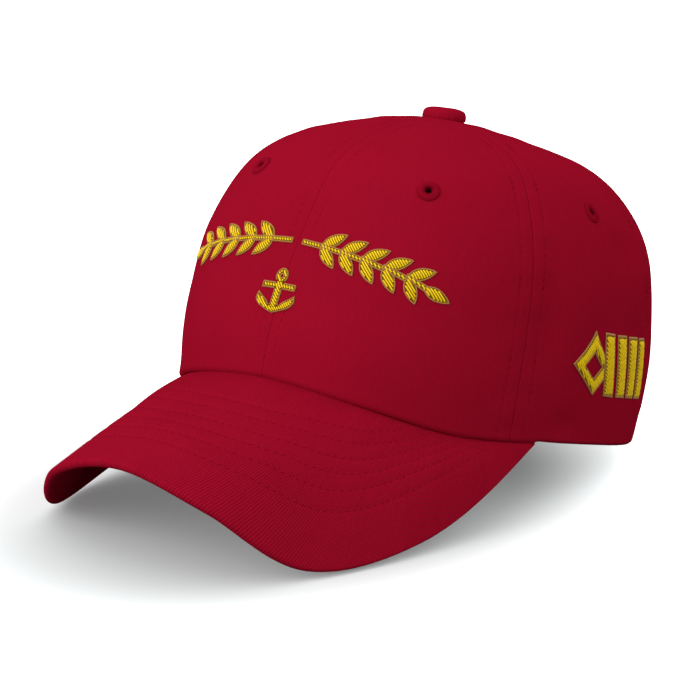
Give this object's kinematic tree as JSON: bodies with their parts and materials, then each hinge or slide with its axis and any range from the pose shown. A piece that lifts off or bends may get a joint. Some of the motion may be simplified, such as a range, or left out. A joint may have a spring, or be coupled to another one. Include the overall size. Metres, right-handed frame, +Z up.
{
  "type": "captain hat",
  "caption": "Soft peaked cap with a round panelled crown, arched brim, covered top button, rear strap and raised gold anchor, laurel and rank embroidery.",
  "frame": {"origin": "centre of the bounding box at the surface that the cap rests on", "axes": "+Z up, the brim points along -Y, +X is the wearer's left"},
  "size_m": [0.1624, 0.293, 0.1377],
  "materials": {
    "crown_cloth": "matt cotton twill, red",
    "brim_cloth": "matt cotton twill over a stiff board, red, row stitched",
    "strap_cloth": "matt cotton twill, red",
    "eyelet_thread": "red sewing thread, faint sheen",
    "gold_thread": "yellow gold embroidery thread with a soft sheen"
  },
  "bodies": {
    "root": {"front_left_panel": "crown_cloth", "front_right_panel": "crown_cloth", "side_left_panel": "crown_cloth", "side_right_panel": "crown_cloth", "back_left_panel": "crown_cloth", "back_right_panel": "crown_cloth", "brim": "brim_cloth", "button": "crown_cloth", "eyelet_front_left": "eyelet_thread", "eyelet_front_right": "eyelet_thread", "eyelet_side_left": "eyelet_thread", "eyelet_side_right": "eyelet_thread", "eyelet_back_left": "eyelet_thread", "eyelet_back_right": "eyelet_thread", "strap": "strap_cloth", "strap_end": "strap_cloth", "anchor": "gold_thread", "laurel_left": "gold_thread", "laurel_right": "gold_thread", "rank_diamond": "gold_thread", "rank_bar_1": "gold_thread", "rank_bar_2": "gold_thread", "rank_bar_3": "gold_thread", "rank_bar_4": "gold_thread"}
  },
  "joints": []
}
